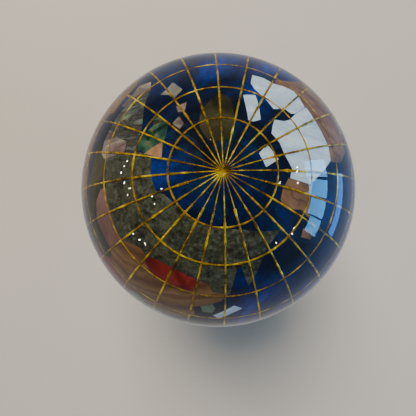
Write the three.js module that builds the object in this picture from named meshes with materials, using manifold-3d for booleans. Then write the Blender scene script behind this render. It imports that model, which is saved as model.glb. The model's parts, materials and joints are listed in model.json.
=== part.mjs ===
// Desktop gemstone globe on a turned pedestal.
// A hollow two-part core carries a skin of crushed blue stone with the lands let in as flat-cut stones,
// a cage of brass meridians and parallels over it, and a clear lacquer coat outside. A spindle screwed
// into the south pole boss turns in two bushes in the brass stem of a weighted wooden plinth.
// Millimetres, +Z up, origin on the table under the middle of the felt pad.
import * as THREE from "three";
import { mergeVertices } from "three/addons/utils/BufferGeometryUtils.js";
import Module from "manifold-3d";

// ---- Driving dimensions, mm and degrees ----
const ballRadius = 55; // outside of the lacquer
const lacquerWall = 1.4;
const wireHeight = 0.5;
const wireWidth = 0.6;
const stoneWall = 2; // ocean skin and land stones alike
const coreWall = 3;
const layerGap = 0.4; // between one layer of the ball and the next
const stoneSeam = 0.35; // between a land stone and what it is let in to
const fitGap = 0.3; // between any two pieces that seat on each other
const ballTurn = 137; // angle of the zero meridian from +X at rest
const meridianStep = 15; // degrees of longitude from wire to wire
const parallels = [72.5, 59.5, 45.5, 30, 15, 0, -15, -30, -45, -60, -72.5];
const poleDiscRadius = 2.4; // of the brass dot at the north pole
const southShore = -70; // mean latitude of the southern land's shore
const shoreWave = 2.2; // height of its three long waves, degrees
const shoreRipple = 1.3; // height of its two longer ones
const spigotHeight = 5; // of the northern core inside the southern one
const spigotWall = 3.2;

const spindleRadius = 3;
const spindleThread = 11; // length of the spindle inside the boss
const bushRadius = 5;
const bushLength = 10;
const flangeRadius = 7.2;
const flangeHeight = 1.1;
const thrustWasherHeight = 1.2;
const bossRadius = 7;
const bossCollarRadius = 8.4;
const bossCollarHeight = 1.2;
const bossNutRadius = 12;
const bossNutHeight = 4;
const nutSeatMargin = 1; // of the flat seat beyond the nut's corners
const bossProud = 1; // of the boss above its nut
const clipRadius = 5;
const clipHeight = 0.7;
const clipGrooveDepth = 0.7;
const clipMouth = 60; // degrees

const feltRadius = 43;
const feltHeight = 1.5;
const feltEdge = 0.4;
const plinthRadius = 46;
const plinthHeight = 18;
const plinthTopRadius = 25;
const plinthStep = 6.2; // height of the lowest step
const plinthStepRound = 2; // of the step's upper edge
const plinthFootEdge = 0.8;
const plinthRiser = 2.2; // height of the wall under the cove
const plinthBead = 1.6; // radius of the bead round the top
const plinthFillet = 3; // width of the flat between the cove and the bead
const recessRadius = 31.5;
const recessDepth = 9;
const trimRadius = 40.2; // to the middle of the brass ring's section
const trimWire = 1.1;
const ballastHoleRadius = 15;
const ballastHeight = 8.2;
const ballastScrewCount = 3;
const ballastScrewCircle = 23;
const ballastScrewRadius = 1.6;
const ballastScrewLength = 13;
const ballastScrewPoint = 2;
const ballastHeadRadius = 3.2;
const ballastHeadHeight = 1.9;

const tenonRadius = 7.5;
const nutRadius = 11;
const nutHeight = 3.4;
const clampWasherRadius = 13;
const clampWasherHeight = 1.1;
const stemFootRadius = 19;
const stemFootHeight = 6; // up to where the foot runs out into the neck
const stemHeadHeight = 4; // of the flare under the dish
const stemEdge = 1.6; // height of the rims of the foot and the head
const stemKnopRadius = 11.5;
const stemKnopHalf = 4; // half the knop's height
const stemCollar = 1; // of the fillets above and below the knop beyond the neck
const stemCollarSlope = 0.6;
const stemNeckRadius = 7.4;
const stemHeight = 25; // from the foot to the seat of the dish
const dishRadius = 27.5; // to the middle of the rolled rim
const dishWall = 2.2;
const dishSeatRadius = 12.5;
const dishWellRadius = 10.5;
const dishFlare = 2; // from the well, and from the seat, out to the spherical wall
const dishClearance = 1.7; // between the ball and the inside of the dish
const dishRimWire = 1.5;

const aroundBall = 360 / meridianStep; // facets round the layers, one to each wire
const aroundTurned = 24; // facets round the plinth, stem and dish
const aroundSmall = 16; // facets round shafts, bushes and washers
const aroundScrew = 12;
const overcut = 1; // of a cutting shape beyond the face that it opens
const mitreLimit = 0.35; // of a stone's sharpest corners
const cutterFoot = 0.8; // where a stone's cutter starts, as a share of the skin's inner radius
const cutterReach = 2; // where it ends, in outer radii, so that its flat cap stays outside the skin

// ---- Heights and radii that follow ----
const plinthBottom = feltHeight + fitGap;
const plinthTop = plinthBottom + plinthHeight;
const recessTop = plinthBottom + recessDepth;
const ballastTop = recessTop - fitGap;
const ballastBottom = ballastTop - ballastHeight;
const stemFoot = plinthTop + fitGap;
const dishSeat = stemFoot + stemHeight;
const dishBottom = dishSeat + fitGap;
const dishFloor = dishBottom + dishWall;
const upperFlangeBottom = dishFloor + fitGap;
const thrustWasherBottom = upperFlangeBottom + flangeHeight + fitGap;
const bossBottom = thrustWasherBottom + thrustWasherHeight + fitGap;
const bossCollarTop = bossBottom + bossCollarHeight;
const poleHole = bossRadius + fitGap;
const ballCentre = bossCollarTop + fitGap + Math.sqrt(ballRadius ** 2 - poleHole ** 2);

const lacquerInner = ballRadius - lacquerWall;
const wireOuter = lacquerInner - layerGap;
const wireInner = wireOuter - wireHeight;
const stoneOuter = wireInner - layerGap;
const stoneInner = stoneOuter - stoneWall;
const coreOuter = stoneInner - layerGap;
const coreInner = coreOuter - coreWall;
const nutSeatRadius = bossNutRadius + nutSeatMargin;
const nutSeat = -Math.sqrt(coreInner ** 2 - nutSeatRadius ** 2); // from the ball's centre
const bossNutBottom = ballCentre + nutSeat + fitGap;
const bossTop = bossNutBottom + bossNutHeight + bossProud;
const spindleTop = bossBottom + spindleThread;

const boreRadius = spindleRadius + fitGap;
const bushSeatRadius = bushRadius + fitGap;
const tenonHoleRadius = tenonRadius + fitGap;
const clampWasherBottom = recessTop - fitGap - clampWasherHeight;
const nutBottom = clampWasherBottom - fitGap - nutHeight;
const tenonBottom = nutBottom - fitGap;
const lowerFlangeBottom = tenonBottom - fitGap - flangeHeight;
const clipTop = lowerFlangeBottom - fitGap;
const clipBottom = clipTop - clipHeight;
const clipGrooveRadius = spindleRadius - clipGrooveDepth;
const spindleBottom = feltHeight + fitGap;

// ---- Materials ----
function finish(color, roughness, metalness) {
  return new THREE.MeshStandardMaterial({ color, roughness, metalness });
}
const brass = finish(0xc9a13c, 0.25, 1);
const steel = finish(0x9a9da1, 0.4, 1);
const clearLacquer = finish(0xdfe6ea, 0.05, 0);
clearLacquer.transparent = true;
clearLacquer.opacity = 0.3;
const oceanStone = finish(0x0b2a6b, 0.15, 0);
const coreResin = finish(0xb9b2a4, 0.6, 0);
const rosewood = finish(0x4a2114, 0.3, 0);
const greenFelt = finish(0x1d3b2a, 0.95, 0);
const bronze = finish(0x9c6b3a, 0.35, 1);
const whiteNylon = finish(0xe9e6dd, 0.5, 0);
const serpentine = finish(0x3f4a3a, 0.2, 0);
const whiteShell = finish(0xdfe7ec, 0.15, 0);
const tanJasper = finish(0x8c6a4c, 0.2, 0);
const orangeJasper = finish(0x9c6a2a, 0.2, 0);
const redJasper = finish(0x8e1f1a, 0.2, 0);
const pearlShell = finish(0xc2a79b, 0.15, 0);
const abalone = finish(0x5d7f6e, 0.15, 0);
const oliveJasper = finish(0x45452a, 0.2, 0);
const paleJade = finish(0x7d927b, 0.2, 0);
const roseQuartz = finish(0xa0706a, 0.2, 0);

// ---- Solids ----
const wasm = await Module();
wasm.setup();

function toSolid(geometry) {
  const bare = geometry.index ? geometry.toNonIndexed() : geometry.clone();
  bare.deleteAttribute("normal");
  bare.deleteAttribute("uv");
  const merged = mergeVertices(bare, 1e-4);
  return new wasm.Manifold(
    new wasm.Mesh({
      numProp: 3,
      vertProperties: merged.getAttribute("position").array,
      triVerts: new Uint32Array(merged.index.array),
    }),
  );
}

function toGeometry(solid) {
  const mesh = solid.getMesh();
  const geometry = new THREE.BufferGeometry();
  geometry.setAttribute("position", new THREE.BufferAttribute(mesh.vertProperties, 3));
  geometry.setIndex(new THREE.BufferAttribute(mesh.triVerts, 1));
  geometry.computeVertexNormals();
  return geometry;
}

function piece(name, shape, material) {
  const geometry = shape.isBufferGeometry ? shape : toGeometry(shape);
  const mesh = new THREE.Mesh(geometry, material);
  mesh.name = name;
  return mesh;
}

// A profile of [radius, height] points turned round the Z axis, whichever way the profile runs.
function turned(profile, segments = aroundTurned) {
  const points = profile.map(([r, z]) => new THREE.Vector2(Math.max(r, 0), z));
  const onAxis = points[0].x === 0 && points.at(-1).x === 0;
  if (!onAxis) points.push(points[0].clone());
  const area = points.reduce((sum, p, i) => sum + p.cross(points[(i + 1) % points.length]), 0);
  if (area < 0) points.reverse();
  return new THREE.LatheGeometry(points, segments).rotateX(Math.PI / 2);
}

// Points of an arc in the profile plane, from one angle to another, in degrees from the +r direction.
// The arc is an ellipse's where its half height is given too.
function arc(r, z, radius, from, to, steps, halfHeight = radius) {
  return Array.from({ length: steps + 1 }, (_, i) => {
    const a = THREE.MathUtils.degToRad(from + ((to - from) * i) / steps);
    return [r + radius * Math.cos(a), z + halfHeight * Math.sin(a)];
  });
}

// ---- Layers of the ball, modelled about its centre ----
// One meridian of a layer from the north pole down to the hole at the south pole, with a corner at each
// parallel.
function meridianProfile(radius, holeRadius) {
  const corners = parallels.map((latitude) => THREE.MathUtils.degToRad(latitude));
  const rim = -Math.acos(holeRadius / radius);
  const points = [...corners, rim].map((a) => [radius * Math.cos(a), radius * Math.sin(a)]);
  return [[0, radius], ...points];
}

// The point of a sphere at a longitude and latitude in degrees.
function onSphere(radius, longitude, latitude) {
  const [lon, lat] = [longitude, latitude].map(THREE.MathUtils.degToRad);
  return new THREE.Vector3(
    radius * Math.cos(lat) * Math.cos(lon),
    radius * Math.cos(lat) * Math.sin(lon),
    radius * Math.sin(lat),
  );
}

function pointsRound(make) {
  return Array.from({ length: aroundBall }, (_, j) => make(j * meridianStep));
}

function layerShell(outer, inner, holeRadius) {
  return turned(
    [...meridianProfile(outer, holeRadius), ...meridianProfile(inner, holeRadius).reverse()],
    aroundBall,
  );
}

// The brass graticule in one piece: bars of V section, point inwards, between the crossings of the
// meridians and parallels. Every second meridian runs on from the first parallel to the dot at the pole.
function brassGraticule() {
  const triangles = [];
  const face = (...corners) => {
    for (let k = 2; k < corners.length; k++) triangles.push(corners[0], corners[k - 1], corners[k]);
  };
  // A crossing has four corners outside, named by compass, and one keel point inside.
  const crossingAt = (latitude, longitude, southward = wireWidth / 2) => {
    const degrees = THREE.MathUtils.radToDeg(1 / wireOuter); // to a millimetre along the sphere
    const west = longitude - ((wireWidth / 2) * degrees) / Math.cos(THREE.MathUtils.degToRad(latitude));
    const east = 2 * longitude - west;
    const north = latitude + (wireWidth / 2) * degrees;
    const south = latitude - southward * degrees;
    return {
      sw: onSphere(wireOuter, west, south),
      se: onSphere(wireOuter, east, south),
      ne: onSphere(wireOuter, east, north),
      nw: onSphere(wireOuter, west, north),
      keel: onSphere(wireInner, longitude, latitude),
    };
  };
  const rows = parallels
    .slice(0, -1)
    .map((latitude) => pointsRound((longitude) => crossingAt(latitude, longitude)));
  rows.forEach((row, i) =>
    row.forEach((here, j) => {
      const east = row[(j + 1) % aroundBall];
      face(here.sw, here.se, here.ne, here.nw);
      face(here.se, east.sw, east.nw, here.ne);
      face(here.keel, east.keel, east.sw, here.se);
      face(east.keel, here.keel, here.ne, east.nw);
      if (i === rows.length - 1) {
        face(here.keel, here.se, here.sw);
        return;
      }
      const south = rows[i + 1][j];
      face(south.nw, south.ne, here.se, here.sw);
      face(south.keel, here.keel, here.se, south.ne);
      face(here.keel, south.keel, south.nw, here.sw);
    }),
  );
  const discLatitude = 90 - THREE.MathUtils.radToDeg(poleDiscRadius / wireOuter);
  const pole = new THREE.Vector3(0, 0, wireOuter);
  const poleKeel = new THREE.Vector3(0, 0, wireInner);
  const ends = pointsRound((longitude) => crossingAt(discLatitude, longitude, 0));
  rows[0].forEach((here, j) => {
    if (j % 2) {
      face(here.keel, here.nw, here.ne);
      return;
    }
    const end = ends[j];
    const next = ends[(j + 2) % aroundBall];
    face(here.nw, here.ne, end.se, end.sw);
    face(here.keel, end.keel, end.se, here.ne);
    face(end.keel, here.keel, here.nw, end.sw);
    face(end.sw, end.se, pole);
    face(end.se, next.sw, pole);
    face(end.keel, next.keel, next.sw, end.se);
    face(next.keel, end.keel, poleKeel);
  });
  return new THREE.BufferGeometry().setFromPoints(triangles);
}

// ---- Land stones ----
// Each outline is a list of [longitude, latitude] corners in degrees. Where two outlines overlap, the one
// that comes first keeps its edge and the other is cut back to it, as the stones are fitted at the bench.
const lands = {
  russia: [serpentine, [[28, 63], [30, 66], [45, 66.5], [58, 67.5], [64, 70], [74, 71.5], [92, 72.3],
    [108, 72.6], [130, 72], [150, 71], [165, 67.5], [178, 63.5], [161, 60.5], [156.5, 57], [147, 49.3],
    [145, 58], [142, 58], [137, 46.5], [129, 48], [126, 51.5], [119.5, 52.5], [108, 53.5], [96, 53],
    [89, 51], [84, 51.5], [78, 48.5], [74, 46], [55, 46.5], [34, 45.5], [31.5, 51], [28, 56]]],
  mongolia: [redJasper, [[90, 48.5], [93, 53], [104, 54.5], [114, 54.5], [119.5, 51.5], [118.5, 46.8],
    [108, 45], [99, 45]]],
  canada_west: [whiteShell, [[-143, 60], [-141, 68], [-133, 67.2], [-120, 69], [-109, 69], [-98, 69.5],
    [-94, 67.5], [-91, 65], [-96.5, 62.5], [-98, 60], [-97, 56], [-97.3, 48.6], [-121, 48.3], [-128, 49],
    [-134, 54]]],
  canada_east: [whiteShell, [[-96.7, 55.5], [-95, 57.5], [-90, 58], [-85, 61.5], [-78, 60], [-68, 57.5],
    [-64.5, 55], [-64, 50], [-70, 49.5], [-76, 50], [-81, 48], [-87, 46.2], [-90, 47], [-96.7, 49.2]]],
  victoria_island: [whiteShell, [[-130, 76.3], [-110, 77.2], [-105, 73.4], [-123.5, 71.8]]],
  baffin_island: [whiteShell, [[-82, 68.5], [-78, 70.5], [-73, 71], [-70, 69], [-62, 62], [-69.5, 60.3],
    [-74, 63.5]]],
  alaska: [tanJasper, [[-166, 66.5], [-162, 69.5], [-152, 70], [-141.5, 68.5], [-143.5, 60],
    [-150, 59.3], [-157, 58], [-163, 56.5], [-161, 61]]],
  usa: [tanJasper, [[-128.5, 48.5], [-121, 49], [-97, 49], [-88, 48], [-79, 49], [-76.5, 49.4],
    [-76, 47], [-80, 43.5], [-83, 40], [-85, 35], [-86.5, 31], [-85, 26], [-88, 26.5], [-89, 30],
    [-97, 29.5], [-101, 26.5], [-106, 31], [-117, 32.5], [-124, 36], [-129, 42]]],
  greenland: [oliveJasper, [[-60, 79], [-40, 80.5], [-22, 79], [-20, 74], [-27, 69], [-38, 65],
    [-46, 62.5], [-53, 64.5], [-57, 70], [-61, 75]]],
  british_isles: [whiteShell, [[-22.5, 56.5], [-15, 58.5], [-14, 55.5], [-10.5, 53], [-15.5, 52.5],
    [-20, 50.5]]],
  scandinavia: [abalone, [[-1, 63.5], [2, 66], [8, 67.5], [15, 68.2], [27, 69.6], [28, 62], [26, 59.5],
    [20, 59], [14, 60.5], [8, 61.5], [2, 59]]],
  balkans: [pearlShell, [[19.5, 44.5], [22, 49], [23, 54], [29, 54.5], [31.5, 50], [34, 45.5], [31, 42],
    [24, 41], [19, 41.5]]],
  central_europe: [abalone, [[-8, 47], [-4, 49.5], [0, 51.5], [6, 55], [11, 57.2], [17, 58.5], [30, 62],
    [30, 52], [20.5, 46], [18, 42], [13, 41.5], [5, 42.5], [-1, 43.5]]],
  iberia: [pearlShell, [[-11.5, 42], [-8.5, 46.7], [-3, 44.3], [5, 43], [6, 39.8], [-2, 40], [-7, 37.5]]],
  china: [orangeJasper, [[74.5, 45], [78, 51], [88, 53], [104, 50], [121, 52.3], [127, 51.5], [131, 47.5],
    [137, 47], [133, 43], [128, 40.6], [121, 37.5], [122, 31], [119, 26], [110, 21.5], [101, 22],
    [97, 28], [86, 28], [78, 33], [74.5, 38]]],
  kazakhstan: [roseQuartz, [[48, 48], [76, 48], [75.5, 37], [61, 36.5], [53, 39], [48, 43]]],
  korea: [paleJade, [[123, 41], [128.5, 41.5], [130.5, 38], [129.5, 34.8], [125.5, 34.8]]],
  japan: [whiteShell, [[130, 32.5], [139, 39.5], [142.5, 37], [138, 34.3], [132.5, 29.8]]],
  persia: [oliveJasper, [[26, 38.5], [29, 43], [33, 47.5], [56, 47.5], [62, 39], [80, 39],
    [76, 30], [66.5, 25], [57, 26.5], [51, 28], [47.5, 30.5], [39, 36], [30, 36.2]]],
  arabia: [orangeJasper, [[35, 30], [39, 33], [47, 29.5], [51, 25], [57, 24.5], [59.5, 22], [54, 17],
    [45, 12.8], [42.5, 15.5], [38, 22]]],
  india: [redJasper, [[68, 24], [70, 33], [80, 36], [88, 29.5], [97, 29], [92, 22], [87, 21], [80.5, 15],
    [80, 10.5], [77.5, 8], [73.5, 16], [72.5, 21]]],
  indochina: [paleJade, [[92, 24], [97.5, 29], [102, 24.5], [108, 22.5], [109.5, 13], [105.5, 9],
    [102, 12.5], [104, 1.5], [101, 2.5], [98.5, 9], [98, 15], [94.3, 16]]],
  borneo: [serpentine, [[109.5, 1.5], [113, 3.5], [117, 7], [119, 4.5], [117.5, 0.5], [115.5, -3.8],
    [110.5, -2.8]]],
  new_guinea: [tanJasper, [[131, -1], [138, -2], [146, -6], [150.5, -10.3], [144, -8.5], [138.5, -8.4],
    [133, -4]]],
  australia: [redJasper, [[114, -22], [122, -18], [126, -14], [131, -11.5], [136, -12.2], [136, -15.5],
    [140, -17.5], [142.5, -11], [146, -19], [153, -26], [150, -37.5], [144, -38.7], [138, -35],
    [131, -31.5], [124, -33.5], [116, -35], [114, -29]]],
  north_africa: [orangeJasper, [[-17, 21], [-9.5, 30], [-6, 35.3], [10, 37], [11, 33.5], [20, 31],
    [25, 31.5], [33, 31], [37, 20.5], [24, 20], [5, 19.5], [-5, 16.5], [-17, 16.5]]],
  west_africa: [serpentine, [[-17, 17.5], [6, 20.5], [15.5, 20.8], [15, 13], [13.5, 6], [9, 4.2], [5, 5],
    [-4, 5], [-8, 4.5], [-13, 8.5]]],
  east_africa: [roseQuartz, [[14.5, 21], [37, 21.5], [39.5, 15], [43, 11.5], [51, 11.5], [42, -1],
    [39.5, -7], [29, -6], [27, 4.5], [13.7, 6.5]]],
  congo_basin: [paleJade, [[9.5, 3.7], [13, 6.8], [29, 5.5], [31, -9.5], [28, -13], [22, -12], [12.5, -16],
    [13, -8], [9, -1]]],
  southern_africa: [tanJasper, [[13, -13.5], [22, -11], [30, -8], [31, -5.5], [39.5, -5.5], [40.5, -15],
    [35, -20], [35.5, -24], [32, -29], [27, -34], [18.5, -34.5], [15, -27]]],
  mexico: [paleJade, [[-117.5, 33.5], [-104, 33], [-98, 28], [-97, 20], [-92, 18], [-88, 21], [-87, 16],
    [-83, 15], [-83, 9.5], [-79, 9.3], [-80, 7.5], [-86, 11], [-94, 15.5], [-104, 18.5], [-107, 24]]],
  colombia_venezuela: [roseQuartz, [[-77.5, 8.5], [-72, 12], [-62, 10.5], [-51, 4.5], [-51, 0],
    [-69, -1], [-70, -4.5], [-80, 0.5]]],
  brazil: [serpentine, [[-70, 0.5], [-58, 3], [-50, 1], [-44, -2.5], [-35, -6], [-38, -13], [-40, -20],
    [-48, -26], [-53, -33], [-57.5, -29.5], [-54.5, -25], [-58, -19], [-60, -14], [-65, -10.5],
    [-70.5, -10.5]]],
  peru_bolivia: [redJasper, [[-80.5, 1.5], [-69, -2.5], [-69, -9], [-60, -12], [-56.5, -19], [-62, -22.5],
    [-69.5, -22], [-70.5, -18], [-76, -14], [-81, -5]]],
  argentina_chile: [tanJasper, [[-70, -19.5], [-57, -18], [-52, -25], [-57, -30], [-57, -38],
    [-62, -41], [-66, -47], [-67.5, -55], [-74, -50], [-74, -42], [-71.5, -32], [-70.7, -24]]],
};

// An outline with each side moved outwards along the sphere by the same distance.
function grownOutline(outline, distance) {
  const corners = outline.map(([longitude, latitude]) => onSphere(1, longitude, latitude));
  const middle = corners.reduce((sum, c) => sum.add(c), new THREE.Vector3()).normalize();
  const sides = corners.map((c, i) =>
    c.clone().cross(corners[(i + 1) % corners.length]).normalize(),
  );
  const turning = corners.reduce((sum, c, i) => {
    const next = corners[(i + 1) % corners.length];
    return sum + c.clone().sub(middle).cross(next.clone().sub(middle)).dot(middle);
  }, 0);
  return corners.map((corner, i) => {
    const before = sides[(i + sides.length - 1) % sides.length];
    const mitre = before.clone().add(sides[i]);
    mitre.divideScalar(Math.max(1 + before.dot(sides[i]), mitreLimit));
    const step = (-Math.sign(turning) * distance) / stoneOuter;
    return corner.clone().addScaledVector(mitre, step).normalize();
  });
}

// A wedge from inside the stone skin to outside it, with the outline as its section all the way.
function stoneCutter(outline, growth) {
  const corners = grownOutline(outline, growth);
  const up = corners.reduce((sum, c) => sum.add(c), new THREE.Vector3()).normalize();
  const east = new THREE.Vector3(-up.y, up.x, 0).normalize();
  const north = up.clone().cross(east);
  const flat = corners.map(
    (c) => new THREE.Vector2(c.dot(east) / c.dot(up), c.dot(north) / c.dot(up)),
  );
  const wedge = new THREE.ExtrudeGeometry(new THREE.Shape(flat), { depth: 1, bevelEnabled: false });
  const position = wedge.getAttribute("position");
  const corner = new THREE.Vector3();
  for (let i = 0; i < position.count; i++) {
    const radius = position.getZ(i) < 0.5 ? stoneInner * cutterFoot : stoneOuter * cutterReach;
    corner.copy(up);
    corner.addScaledVector(east, position.getX(i)).addScaledVector(north, position.getY(i));
    corner.setLength(radius);
    position.setXYZ(i, corner.x, corner.y, corner.z);
  }
  return toSolid(wedge);
}

// The southern land is a ring round the pole boss, with a wavy shore.
function antarcticShore() {
  return pointsRound((longitude) => {
    const turn = THREE.MathUtils.degToRad(longitude);
    return [longitude, southShore + shoreWave * Math.cos(3 * turn) + shoreRipple * Math.sin(2 * turn)];
  });
}

function stoneSkin() {
  const skin = toSolid(layerShell(stoneOuter, stoneInner, poleHole));
  const stones = [];
  let ocean = skin;
  let taken = null;
  const outlines = { ...lands, antarctica: [whiteShell, antarcticShore()] };
  for (const [name, [stone, outline]] of Object.entries(outlines)) {
    let land = skin.intersect(stoneCutter(outline, 0));
    if (taken) land = land.subtract(taken);
    const window = stoneCutter(outline, stoneSeam);
    ocean = ocean.subtract(window);
    taken = taken ? taken.add(window) : window;
    stones.push(piece("land_" + name, land, stone));
  }
  return [piece("ocean_skin", ocean, oceanStone), ...stones];
}

// The core is two hemispheres: the northern one has a spigot that fits inside the southern one.
function sphereRun(radius, latitudes) {
  return latitudes.map((latitude) => {
    const a = THREE.MathUtils.degToRad(latitude);
    return [radius * Math.cos(a), radius * Math.sin(a)];
  });
}

function northCore() {
  const latitudes = parallels.filter((latitude) => latitude > 0);
  const equator = fitGap / 2;
  const spigotRadius = coreInner - fitGap;
  const firstParallel = THREE.MathUtils.degToRad(latitudes.at(-1));
  const spigotFoot = spigotRadius - spigotHeight * Math.tan(firstParallel / 2);
  return turned(
    [
      [0, coreOuter],
      ...sphereRun(coreOuter, latitudes),
      [coreOuter, equator],
      [spigotRadius, equator],
      [spigotFoot, -spigotHeight],
      [spigotRadius - spigotWall, -spigotHeight],
      [spigotRadius - spigotWall, equator],
      ...sphereRun(coreInner, latitudes).reverse(),
      [0, coreInner],
    ],
    aroundBall,
  );
}

function southCore() {
  const latitudes = parallels.filter((latitude) => latitude < 0);
  const equator = -fitGap / 2;
  const rim = [poleHole, -Math.sqrt(coreOuter ** 2 - poleHole ** 2)];
  return turned(
    [
      [coreOuter, equator],
      ...sphereRun(coreOuter, latitudes),
      rim,
      [poleHole, nutSeat],
      [nutSeatRadius, nutSeat],
      ...sphereRun(coreInner, latitudes.slice(0, -1)).reverse(),
      [coreInner, equator],
    ],
    aroundBall,
  );
}

// ---- Shapes that repeat ----
function ringShape(outer, inner, bottom, height, segments = aroundSmall) {
  return turned(
    [
      [inner, bottom],
      [outer, bottom],
      [outer, bottom + height],
      [inner, bottom + height],
    ],
    segments,
  );
}

function hexagonNut(radius, hole, bottom, height) {
  const corners = Array.from({ length: 6 }, (_, i) => {
    const a = (i * Math.PI) / 3;
    return new THREE.Vector2(radius * Math.cos(a), radius * Math.sin(a));
  });
  const outline = new THREE.Shape(corners);
  outline.holes.push(new THREE.Path().absarc(0, 0, hole, 0, 2 * Math.PI, true));
  const options = { depth: height, bevelEnabled: false, curveSegments: aroundSmall };
  return new THREE.ExtrudeGeometry(outline, options).translate(0, 0, bottom);
}

// A flanged bush: the barrel runs up or down from its flange to the height where it ends.
function flangedBush(flangeBottom, barrelEnd) {
  const flangeTop = flangeBottom + flangeHeight;
  const up = barrelEnd > flangeBottom;
  const profile = up
    ? [
        [boreRadius, flangeBottom],
        [flangeRadius, flangeBottom],
        [flangeRadius, flangeTop],
        [bushRadius, flangeTop],
        [bushRadius, barrelEnd],
        [boreRadius, barrelEnd],
      ]
    : [
        [boreRadius, barrelEnd],
        [bushRadius, barrelEnd],
        [bushRadius, flangeBottom],
        [flangeRadius, flangeBottom],
        [flangeRadius, flangeTop],
        [boreRadius, flangeTop],
      ];
  return turned(profile, aroundSmall);
}

// ---- Stand ----
function feltPad() {
  return turned([
    [0, 0],
    [feltRadius - feltEdge, 0],
    [feltRadius, feltEdge],
    [feltRadius, feltHeight],
    [0, feltHeight],
  ]);
}

function ballastScrewPlaces() {
  return Array.from({ length: ballastScrewCount }, (_, i) => {
    const a = (2 * Math.PI * i) / ballastScrewCount;
    return [ballastScrewCircle * Math.cos(a), ballastScrewCircle * Math.sin(a)];
  });
}

function screwHole(headHeight, gap, length) {
  const neck = ballastScrewRadius + gap;
  return [
    [0, ballastBottom - overcut],
    [ballastHeadRadius + gap, ballastBottom - overcut],
    [ballastHeadRadius + gap, ballastBottom + headHeight],
    [neck, ballastBottom + headHeight],
    [neck, ballastBottom + length],
    [0, ballastBottom + length],
  ];
}

function ballastDisc() {
  const rim = recessRadius - fitGap;
  const disc = ringShape(rim, ballastHoleRadius, ballastBottom, ballastHeight, aroundTurned);
  const hole = screwHole(ballastHeadHeight + fitGap, fitGap, ballastHeight + overcut);
  return ballastScrewPlaces().reduce(
    (solid, [x, y]) => solid.subtract(toSolid(turned(hole, aroundScrew).translate(x, y, 0))),
    toSolid(disc),
  );
}

function ballastScrew() {
  return turned(
    [
      [0, ballastBottom],
      [ballastHeadRadius, ballastBottom],
      [ballastHeadRadius, ballastBottom + ballastHeadHeight],
      [ballastScrewRadius, ballastBottom + ballastHeadHeight],
      [ballastScrewRadius, ballastBottom + ballastScrewLength - ballastScrewPoint],
      [0, ballastBottom + ballastScrewLength],
    ],
    aroundScrew,
  );
}

function woodenPlinth() {
  const stepTop = plinthBottom + plinthStep;
  const riser = trimRadius - trimWire - fitGap;
  const coveTop = plinthTop - 2 * plinthBead;
  const coveWidth = riser - plinthTopRadius - plinthFillet;
  const coveHeight = coveTop - stepTop - plinthRiser;
  const stepRound = [plinthRadius - plinthStepRound, stepTop - plinthStepRound];
  const body = turned([
    [tenonHoleRadius, recessTop],
    [recessRadius, recessTop],
    [recessRadius, plinthBottom],
    [plinthRadius - plinthFootEdge, plinthBottom],
    [plinthRadius, plinthBottom + plinthFootEdge],
    ...arc(...stepRound, plinthStepRound, 0, 90, 2),
    [riser, stepTop],
    ...arc(riser, coveTop, coveWidth, 270, 180, 4, coveHeight),
    [plinthTopRadius + plinthBead, coveTop],
    ...arc(plinthTopRadius, plinthTop - plinthBead, plinthBead, -60, 90, 3),
    [tenonHoleRadius, plinthTop],
  ]);
  const pilot = turned(
    [
      [0, recessTop - overcut],
      [ballastScrewRadius + fitGap, recessTop - overcut],
      [ballastScrewRadius + fitGap, ballastBottom + ballastScrewLength],
      [0, ballastBottom + ballastScrewLength + fitGap],
    ],
    aroundScrew,
  );
  return ballastScrewPlaces().reduce(
    (solid, [x, y]) => solid.subtract(toSolid(pilot.clone().translate(x, y, 0))),
    toSolid(body),
  );
}

function trimRing() {
  const middle = plinthBottom + plinthStep + fitGap + trimWire;
  return turned(arc(trimRadius, middle, trimWire, 0, 300, 5));
}

// The neck runs between the hollow sweeps of the foot and the head, with the knop half way up it.
function brassStem() {
  const neckBottom = stemFoot + stemFootHeight;
  const neckTop = dishSeat - stemHeadHeight;
  const knop = (neckBottom + neckTop) / 2;
  const knopOut = stemKnopRadius - stemNeckRadius;
  const footOut = stemFootRadius - stemNeckRadius;
  const headOut = dishSeatRadius - stemNeckRadius;
  return turned([
    [bushSeatRadius, tenonBottom],
    [tenonRadius, tenonBottom],
    [tenonRadius, stemFoot],
    [stemFootRadius, stemFoot],
    ...arc(stemFootRadius, neckBottom, footOut, 270, 180, 4, stemFootHeight - stemEdge),
    [stemNeckRadius, knop - stemKnopHalf - stemCollarSlope],
    [stemNeckRadius + stemCollar, knop - stemKnopHalf],
    ...arc(stemNeckRadius, knop, knopOut, -70, 70, 4, stemKnopHalf),
    [stemNeckRadius + stemCollar, knop + stemKnopHalf],
    [stemNeckRadius, knop + stemKnopHalf + stemCollarSlope],
    ...arc(dishSeatRadius, neckTop, headOut, 180, 90, 3, stemHeadHeight - stemEdge),
    [dishSeatRadius, dishSeat],
    [bushSeatRadius, dishSeat],
  ]);
}

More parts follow.
